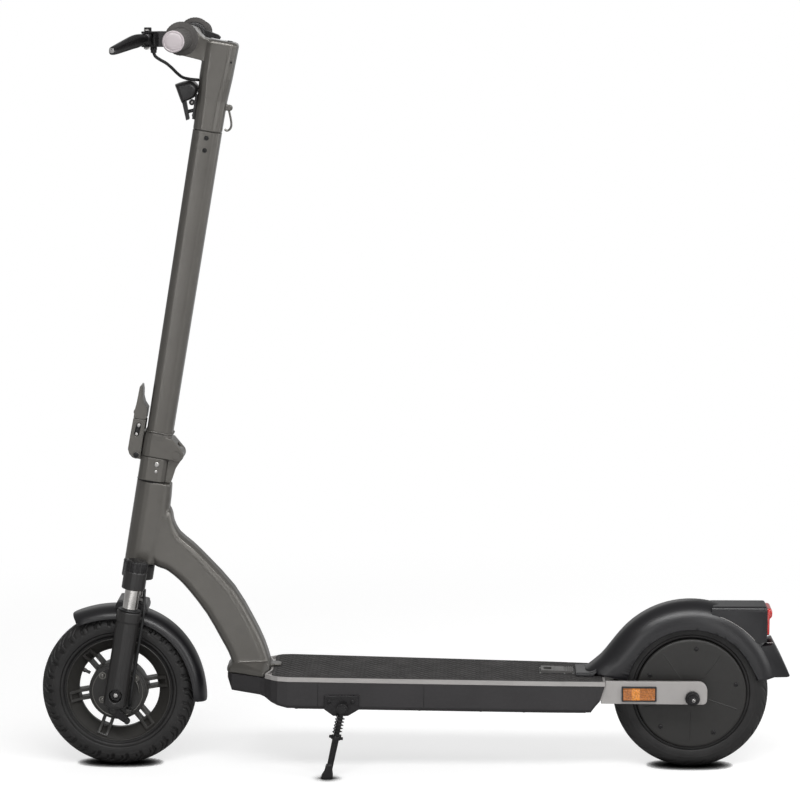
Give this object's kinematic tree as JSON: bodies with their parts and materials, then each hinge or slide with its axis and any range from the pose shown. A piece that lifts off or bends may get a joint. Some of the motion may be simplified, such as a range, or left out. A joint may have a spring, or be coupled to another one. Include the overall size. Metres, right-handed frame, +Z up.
{
  "type": "electric scooter",
  "caption": "Folding electric scooter with sprung fork, cast front wheel, hub motor, mudguards, rubber deck, handlebar controls and side stand.",
  "frame": {"origin": "on the ground, at the centre of the bounding box's underside", "axes": "+Z up, nose and front wheel towards -X, the rider's left side towards -Y"},
  "size_m": [1.228, 0.546, 1.223],
  "materials": {
    "grey_paint": "satin grey paint",
    "black_paint": "satin black paint",
    "black_plastic": "moulded black plastic",
    "fender_plastic": "moulded black plastic with a soft sheen",
    "tyre_rubber": "black tyre rubber",
    "cable_rubber": "black cable sheath",
    "mat_rubber": "embossed dark mat",
    "grip_rubber": "ribbed dark grip rubber",
    "silver_paint": "silver paint",
    "chrome": "polished chrome",
    "steel": "plain steel",
    "dark_steel": "blackened steel",
    "aluminium": "plain aluminium",
    "cap_plastic": "pale mauve end cap",
    "amber_plastic": "amber reflector",
    "red_plastic": "red lamp lens",
    "dark_glass": "dark display window",
    "battery_wrap": "wrapped cell pack"
  },
  "bodies": {
    "frame": {"main_frame": "grey_paint", "headset_lower": "dark_steel", "deck_housing": "black_plastic", "bottom_cover": "dark_steel", "deck_trim": "silver_paint", "deck_mat": "mat_rubber", "battery_pack": "battery_wrap", "motor_controller": "aluminium", "fold_catch": "silver_paint", "swingarm_left": "silver_paint", "swingarm_right": "silver_paint", "reflector_left": "amber_plastic", "reflector_right": "amber_plastic", "rear_fender": "fender_plastic", "tail_lamp_housing": "fender_plastic", "tail_lamp_lens": "red_plastic", "plate_holder": "fender_plastic", "rear_axle": "dark_steel", "motor_stator": "steel", "kickstand_bracket": "dark_steel"},
    "rear_wheel": {"motor_shell": "black_paint", "motor_cover_left": "black_paint", "motor_cover_right": "black_paint", "rear_tyre": "tyre_rubber"},
    "kickstand": {"kickstand_leg": "dark_steel", "kickstand_spring": "steel"},
    "steering": {"steerer_tube": "steel", "fork_crown": "black_paint", "stanchion_left": "chrome", "stanchion_right": "chrome", "hinge_lower": "grey_paint", "fold_pin": "steel"},
    "fork_slider": {"fork_leg_left": "black_paint", "fork_leg_right": "black_paint", "front_fender": "fender_plastic", "front_axle": "dark_steel", "brake_plate": "dark_steel", "brake_cable_lower": "cable_rubber"},
    "brake_arm": {"brake_arm": "steel"},
    "front_wheel": {"front_rim": "black_paint", "front_tyre": "tyre_rubber"},
    "stem": {"hinge_upper": "grey_paint", "stem_tube": "grey_paint", "stem_head": "grey_paint", "display_lens": "dark_glass", "handlebar": "steel", "grip_left": "grip_rubber", "grip_right": "grip_rubber", "grip_cap_left": "cap_plastic", "grip_cap_right": "cap_plastic", "brake_clamp": "dark_steel", "throttle_housing": "black_plastic", "headlight": "black_plastic", "brake_cable_upper": "cable_rubber"},
    "latch": {"latch_link": "grey_paint", "latch_lever": "grey_paint"},
    "brake_lever": {"brake_lever": "dark_steel"},
    "throttle": {"throttle_paddle": "black_plastic"},
    "power_button": {"power_button": "black_plastic"},
    "bag_hook": {"bag_hook": "steel"}
  },
  "joints": [
    {"name": "steering_turn", "type": "hinge", "parent": "frame", "child": "steering", "pos_m": [-0.487, 0, 0.127], "axis": [0.165, 0, 0.9863], "range_deg": [-35, 35]},
    {"name": "fork_slide", "type": "slide", "parent": "steering", "child": "fork_slider", "axis": [0.165, 0, 0.9863], "range_m": [0, 0.03], "stiffness_N_per_m": 9000, "springref_m": -0.0133},
    {"name": "front_wheel_spin", "type": "hinge", "parent": "fork_slider", "child": "front_wheel", "pos_m": [-0.487, 0, 0.127], "axis": [0, 1, 0], "continuous": true},
    {"name": "rear_wheel_spin", "type": "hinge", "parent": "frame", "child": "rear_wheel", "pos_m": [0.453, 0, 0.127], "axis": [0, 1, 0], "continuous": true},
    {"name": "brake_arm_swing", "type": "hinge", "parent": "fork_slider", "child": "brake_arm", "pos_m": [-0.4944, -0.0333, 0.0958], "axis": [0, -1, 0], "range_deg": [0, 12]},
    {"name": "stem_fold", "type": "hinge", "parent": "steering", "child": "stem", "pos_m": [-0.38702, 0, 0.51786], "axis": [0, 1, 0], "range_deg": [0, 110]},
    {"name": "latch_open", "type": "hinge", "parent": "steering", "child": "latch", "pos_m": [-0.45358, 0, 0.51754], "axis": [0, -1, 0], "range_deg": [0, 100]},
    {"name": "brake_lever_squeeze", "type": "hinge", "parent": "stem", "child": "brake_lever", "pos_m": [-0.41796, -0.125, 1.19499], "axis": [0, 0, 1], "range_deg": [0, 20], "stiffness_Nm_per_rad": 0.8, "springref_deg": -8.59},
    {"name": "throttle_push", "type": "hinge", "parent": "stem", "child": "throttle", "pos_m": [-0.36296, 0.108, 1.19599], "axis": [0, 1, 0], "range_deg": [0, 40], "stiffness_Nm_per_rad": 0.15, "springref_deg": -11.46},
    {"name": "power_button_press", "type": "slide", "parent": "stem", "child": "power_button", "axis": [-0.165, 0, -0.9863], "range_m": [0, 0.0012], "stiffness_N_per_m": 400, "springref_m": -0.0012},
    {"name": "bag_hook_swing", "type": "hinge", "parent": "stem", "child": "bag_hook", "pos_m": [-0.29797, 0, 1.08088], "axis": [0, -1, 0], "range_deg": [0, 115]},
    {"name": "kickstand_fold", "type": "hinge", "parent": "frame", "child": "kickstand", "pos_m": [-0.1155, -0.1005, 0.1155], "axis": [0, -1, 0], "range_deg": [0, 95], "stiffness_Nm_per_rad": 0.25, "springref_deg": -28.65}
  ],
  "couplings": [
    {"joint": "brake_arm_swing", "follows": "brake_lever_squeeze", "ratio": 0.6}
  ]
}
